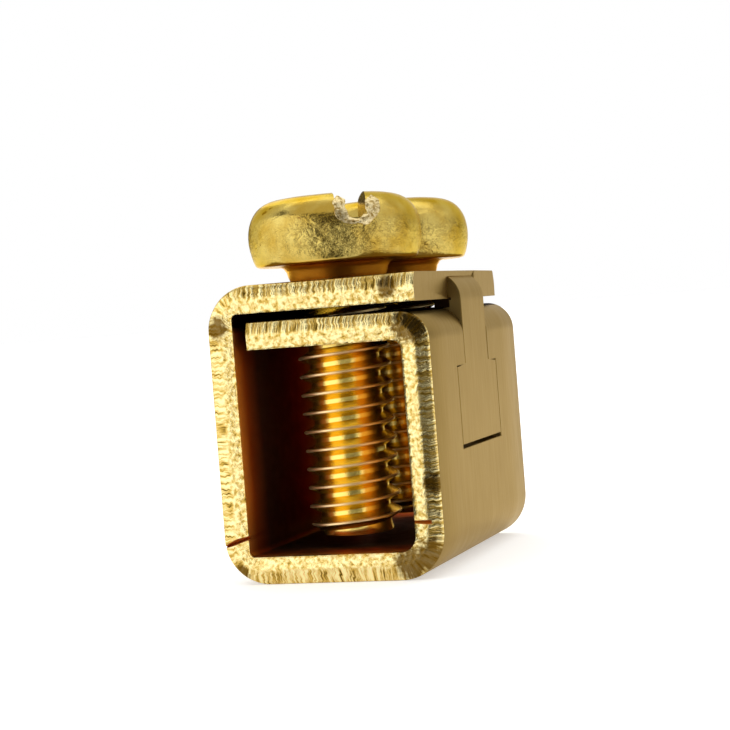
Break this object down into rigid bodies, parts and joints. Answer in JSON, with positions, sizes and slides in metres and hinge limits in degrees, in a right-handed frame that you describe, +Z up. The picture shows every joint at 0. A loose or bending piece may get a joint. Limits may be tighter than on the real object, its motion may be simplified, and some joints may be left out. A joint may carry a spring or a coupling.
{
  "type": "cage clamp terminal",
  "caption": "Open brass box folded from one strip, locked by a T tongue, with slotted clamp screws threaded down through its double top to grip a conductor.",
  "frame": {"origin": "middle of the flat face that the cage stands on", "axes": "+Z up along the screws; Y along the conductor, with the shown mouth towards -Y; +X towards the wall that carries the T tongue"},
  "size_m": [0.0098, 0.015, 0.0163],
  "materials": {
    "cage_brass": "rolled sheet brass, smooth outside, sheared bright edges",
    "screw_brass": "turned and headed brass, dented head"
  },
  "bodies": {
    "cage": {"cage": "cage_brass"},
    "front_screw": {"front_screw": "screw_brass"},
    "rear_screw": {"rear_screw": "screw_brass"}
  },
  "joints": [
    {"name": "front_screw_travel", "type": "slide", "parent": "cage", "child": "front_screw", "axis": [0, 0, 1], "range_m": [0, 0.0075]},
    {"name": "rear_screw_travel", "type": "slide", "parent": "cage", "child": "rear_screw", "axis": [0, 0, 1], "range_m": [0, 0.0075]}
  ]
}
